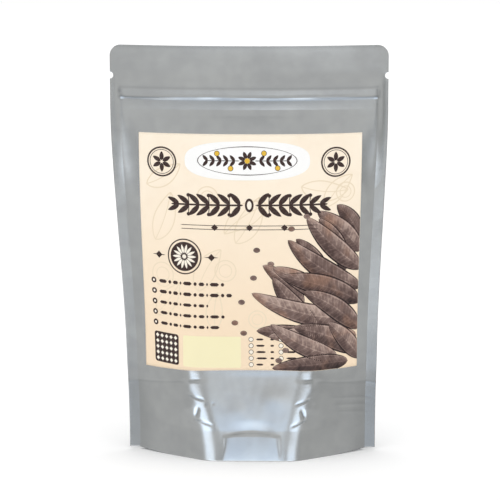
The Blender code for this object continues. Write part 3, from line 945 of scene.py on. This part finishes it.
class Finish:
    """A material or the world, whose nodes are made by one method."""

    def __init__(self, owner):
        owner.use_nodes = True
        self.owner = owner
        self.tree = owner.node_tree

    def node(self, kind, settings=None, sockets=None, out=0):
        """A node of that kind: its settings first, then its sockets' values or links."""
        node = self.tree.nodes.new("ShaderNode" + kind)
        for key, value in (settings or {}).items():
            if key == "stops":
                ramp = node.color_ramp
                while len(ramp.elements) < len(value):
                    ramp.elements.new(1.0)
                for element, (place, colour) in zip(ramp.elements, value):
                    element.position = place
                    element.color = (*colour, 1.0)
            else:
                setattr(node, key, value)
        for key, value in (sockets or {}).items():
            connect(self.tree, node.inputs[key], value)
        return Value(self.tree, node.outputs[out])

    def mix(self, factor, first, second):
        """The first colour at factor 0, the second at 1."""
        return self.node("Mix", {"data_type": "RGBA"}, {0: factor, 6: first, 7: second}, out=2)

    def noise(self, where, scale, detail=2.0, roughness=0.5):
        """Noise from 0 to 1."""
        return self.node("TexNoise", None, {
            "Vector": where, "Scale": scale, "Detail": detail, "Roughness": roughness,
        }, out="Fac")

    def shade(self, **sockets):
        """Sets the Principled shader's sockets, named with _ for a space."""
        shader = self.tree.nodes["Principled BSDF"]
        for key, value in sockets.items():
            connect(self.tree, shader.inputs[key.replace("_", " ")], value)


def new_finish(name):
    """An empty finish on a new material."""
    return Finish(bpy.data.materials.new(name))


def film_finish():
    """Foil laminate: grey metal with cloudy patches and a fine uneven surface, with painted shade where
    marked, which is rougher too.
    """
    made = new_finish("foil_film")
    where = made.node("TexCoord", out="Object")
    dull = made.node("Attribute", {"attribute_name": "dull"}, out="Fac")
    clouds = made.noise(where, 34.0, 3.0, 0.6)
    patches = made.noise(where, 120.0, 2.0)
    fine = made.noise(where, 900.0, 2.0)
    tone = clouds.step(0.28, 0.72) * 0.65 + patches.step(0.3, 0.7) * 0.35
    grey = made.mix(tone, (0.372, 0.376, 0.377), (0.436, 0.441, 0.435))
    relief = made.node("Bump", None, {
        "Strength": 0.35, "Distance": 0.0001, "Height": fine * 0.25 + patches,
    })
    # The painted shade darkens the film's colour towards a dark grey
    made.shade(
        Base_Color=made.mix(dull, grey, (0.235, 0.240, 0.243)),
        Metallic=1.0,
        Roughness=0.16 + 0.06 * clouds + 0.06 * dull,
        Normal=relief,
    )
    return made.owner


def paper_finish():
    """Printed label paper: a cream that deepens downwards, under a satin varnish."""
    made = new_finish("printed_label")
    where = made.node("UVMap")
    up = made.node("SeparateXYZ", None, {0: where}, out=1)
    cream = made.mix(up.step(53.0, 190.0), (0.93, 0.74, 0.53), (1.0, 0.89, 0.735))
    clouds = made.noise(made.node("TexCoord", out="Object"), 55.0, 3.0, 0.6).step(0.35, 0.75)
    made.shade(Base_Color=made.mix(clouds * 0.30, cream, (0.90, 0.74, 0.56)), Roughness=0.45)
    return made.owner


def ink_finish(name, colour):
    """Printing ink: its colour, broken up very slightly where the paper took less of it."""
    made = new_finish(name)
    where = made.node("TexCoord", out="Object")
    thin = made.noise(where, 900.0, 3.0).step(0.45, 0.75) * 0.10 + made.noise(where, 60.0, 1.0) * 0.05
    paler = tuple(part + 0.35 * (0.9 - part) for part in colour)
    made.shade(Base_Color=made.mix(thin, colour, paler), Roughness=0.42, Specular_IOR_Level=0.2)
    return made.owner


def leaf_finish():
    """Printed leaves: brown, one half in shade, with a rib, side veins, mottling and a dark rim.

    The UV map runs 0 to 1 along a leaf and -1 to 1 across it; the tone is the leaf's own.
    """
    made = new_finish("ink_leaf_brown")
    place = made.node("UVMap")
    along = made.node("SeparateXYZ", None, {0: place}, out=0)
    across = made.node("SeparateXYZ", None, {0: place}, out=1)
    tone = made.node("Attribute", {"attribute_name": "tone"}, out="Fac")
    where = made.node("TexCoord", out="Object")
    mottle = made.noise(where, 260.0, 4.0, 0.6)
    streaks = made.noise(where, 90.0, 3.0, 0.7)
    off = across.abs()
    veins = (along * 118.0 - off * 9.0 + streaks * 5.0).sin().step(0.55, 0.98)
    rib = 1.0 - off.step(0.02, 0.10)
    rim = off.step(0.80, 0.98)
    lit = across.step(-0.95, 0.70)
    patches = made.noise(where, 48.0, 2.0).step(0.25, 0.75)
    edge = off.step(0.72, 0.84) * (1.0 - off.step(0.86, 0.95))
    level = tone * 0.50 + mottle.step(0.28, 0.74) * 0.30 + lit * 0.40 + patches * 0.26 - 0.24
    level = level + veins * 0.10 + rib * 0.14 + edge * 0.26 - rim * 0.75
    level = level.math("MAXIMUM", 0.0, clamp=True)
    brown = made.node("ValToRGB", {"stops": (
        (0.0, (0.014, 0.008, 0.008)),
        (0.35, (0.090, 0.055, 0.049)),
        (0.65, (0.205, 0.138, 0.120)),
        (1.0, (0.520, 0.390, 0.330)),
    )}, {0: level})
    warm = made.noise(where, 75.0, 2.0).step(0.50, 0.72) * 0.55 * level
    colour = made.mix(warm, brown, (0.42, 0.215, 0.125))
    made.shade(Base_Color=colour, Roughness=0.42, Specular_IOR_Level=0.2)
    return made.owner


def plain_finish(name, colour, roughness, grain=200.0, depth=0.0001):
    """A solid colour with a fine grain."""
    made = new_finish(name)
    where = made.node("TexCoord", out="Object")
    grains = made.noise(where, grain, 3.0)
    darker = tuple(0.85 * part for part in colour)
    made.shade(
        Base_Color=made.mix(grains, darker, colour),
        Roughness=roughness,
        Normal=made.node("Bump", None, {"Strength": 0.3, "Distance": depth, "Height": grains}),
    )
    return made.owner


def reflected(x, azimuth, elevation):
    """The light seen in the film, by azimuth off the front or back and by elevation, in degrees.

    Gives its level and how blue it is.
    """
    right = x.step(-0.5, 0.5)
    narrow = 1.0 - azimuth.step(3.0, 9.0)
    beside = azimuth.step(42.0, 56.0)
    # A base, a brighter middle towards the floor, and dimmer sides
    base = 0.50 * elevation.step(-17.0, -11.5) + 0.45
    middle = 1.48 - 0.50 * elevation.step(-14.0, -4.0)
    side = 0.93 - (0.13 + 0.08 * right) * (1.0 - elevation.step(-18.0, -12.0)) - 0.03 * right
    level = base + narrow * (middle - base) + beside * (side - base)
    # Light right of the middle, for the film just below the label
    patch = x.step(-0.028, 0.012) * (1.0 - azimuth.step(4.0, 6.5)) * elevation.step(-14.0, -11.0)
    patch = patch * (1.0 - elevation.step(-6.0, -1.0))
    level = level + (0.36 + 0.30 * azimuth.step(1.0, 6.0)) * patch
    # A bright lobe on each side, which only the folds at the foot show, and a dim one above it
    inward = (2.0 + 8.0 * right) * (1.0 - elevation.step(-14.6, -11.8))
    lobe = (azimuth + inward).step(19.0, 26.0) * (1.0 - (azimuth + inward).step(42.0, 54.0))
    level = level + 2.1 * lobe * (1.0 - elevation.step(-14.0, -11.0))
    level = level - (0.25 + 0.20 * right) * lobe * (1.0 - elevation.step(-5.0, 0.0))
    # The floor below, and darkness high above
    below = (1.0 - elevation.step(-32.0, -15.0)) * (0.25 + 0.75 * elevation.step(-58.0, -38.0))
    level = level + 0.9 * below * (1.0 - 0.8 * beside) - 0.45 * elevation.step(29.0, 41.0)
    # A rim for the sides of the bottom panel
    rim = azimuth.step(2.0, 5.5) * (1.0 - azimuth.step(8.0, 10.0)) * (1.0 - elevation.step(-16.5, -14.5))
    level = level + 0.9 * rim * (1.0 - 0.4 * right)
    blue = narrow + 0.9 * lobe * (1.0 - elevation.step(-16.5, -13.0))
    return level, blue * (1.0 - elevation.step(-14.5, -5.5)) * elevation.step(-46.0, -32.0)


def world():
    """The studio: white to the camera, even to the paper, and shaped light in the film's reflections.

    The shaped light is alike in front and behind.
    """
    made = Finish(bpy.data.worlds.new("studio"))
    bpy.context.scene.world = made.owner
    nodes = made.tree.nodes
    nodes.clear()
    towards = made.node("TexCoord", out="Generated")
    x, y, z = (made.node("SeparateXYZ", None, {0: towards}, out=axis) for axis in range(3))
    in_degrees = 180.0 / math.pi
    azimuth = x.abs().math("ARCTAN2", y.abs()) * in_degrees
    elevation = z.math("ARCSINE") * in_degrees
    level, blue = reflected(x, azimuth, elevation)
    colour = made.mix(blue, (0.985, 1.0, 1.0), (0.85, 1.0, 1.20))
    around = 0.48 + 0.75 * x * x - 0.30 * y.step(0.0, 0.5)
    glossy = made.node("Background", None, {"Color": colour, "Strength": level})
    even = made.node("Background", None, {"Color": (1.0, 1.0, 1.0), "Strength": around})
    white = made.node("Background", None, {"Color": (1.0, 1.0, 1.0), "Strength": 1.0})
    is_glossy = made.node("LightPath", out="Is Glossy Ray")
    is_camera = made.node("LightPath", out="Is Camera Ray")
    light = made.node("MixShader", None, {0: is_glossy, 1: even, 2: glossy})
    light = made.node("MixShader", None, {0: is_camera, 1: light, 2: white})
    output = nodes.new("ShaderNodeOutputWorld")
    made.tree.links.new(light.socket, output.inputs[0])


def studio():
    """A white floor and one wide soft light above."""
    size = 4.0
    corners = np.array([(-size, -size, 0.0), (size, -size, 0.0), (size, size, 0.0), (-size, size, 0.0)])
    floor = make_mesh("floor", corners, np.array([[0, 1, 2, 3]]))
    made = new_finish("floor_paint")
    made.shade(
        Base_Color=(0.97, 0.97, 0.97), Roughness=0.9,
        Emission_Color=(1.0, 1.0, 1.0), Emission_Strength=0.05,
    )
    floor.data.materials.append(made.owner)
    floor.visible_glossy = False
    lamp = bpy.data.lights.new("overhead", "SUN")
    lamp.angle = math.radians(100.0)
    lamp.energy = 1.75
    obj = bpy.data.objects.new("overhead", lamp)
    obj.location = (0.0, 0.0, 1.5)
    obj.visible_glossy = False
    bpy.context.scene.collection.objects.link(obj)
    world()
    scene = bpy.context.scene
    scene.view_settings.view_transform = "Standard"
    scene.view_settings.look = "None"


def camera():
    """The photograph's view: 1.3 m away, 10 degrees above the horizontal, a long lens."""
    lens = bpy.data.cameras.new("camera")
    lens.sensor_width = 36.0
    lens.lens = 160.9
    lens.clip_start = 0.05
    lens.clip_end = 20.0
    obj = bpy.data.objects.new("camera", lens)
    bpy.context.scene.collection.objects.link(obj)
    elevation, turn, away = math.radians(10.0), 0.0181, 1.3
    aim_x, aim_height = 0.00056, 0.1194
    obj.location = (
        aim_x + away * math.cos(elevation) * math.sin(turn),
        -away * math.cos(elevation) * math.cos(turn),
        aim_height + away * math.sin(elevation),
    )
    obj.rotation_euler = (math.pi / 2 - elevation, 0.0, turn)
    bpy.context.scene.camera = obj


def put_on(obj, finish, slot, *nodes):
    """Gives a piece its finish and its body, and hides the frame's nodes that it stands for. The slot is
    not used.
    """
    obj.data.materials.append(finish)
    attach(obj, "root")
    if nodes:
        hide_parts(*nodes)
    return obj


def refinish(name, finish):
    """Gives a node of the frame a finish in its own slots."""
    for slot in frame["nodes"][name].material_slots:
        slot.material = finish


def main():
    camera()
    studio()
    film = film_finish()
    paper = paper_finish()
    put_on(web("front_film", -1, front_relief), film, "foil_laminate", "front_panel")
    put_on(web("back_film", 1, back_relief), film, "foil_laminate", "back_panel")
    put_on(gusset(), film, "foil_laminate", "bottom_gusset")
    put_on(label(), paper, "label_paper", "front_label")
    label_print()
    plastic = plain_finish("zip_plastic_clear", (0.80, 0.82, 0.83), 0.3)
    skin = plain_finish("dried_pod_skin", (0.11, 0.052, 0.034), 0.42, grain=350.0, depth=0.0004)
    for name in ("zip_groove_track", "zip_ridge_track"):
        refinish(name, plastic)
    for number in range(1, 11):
        refinish(f"carob_pod_{number:02d}", skin)


main()
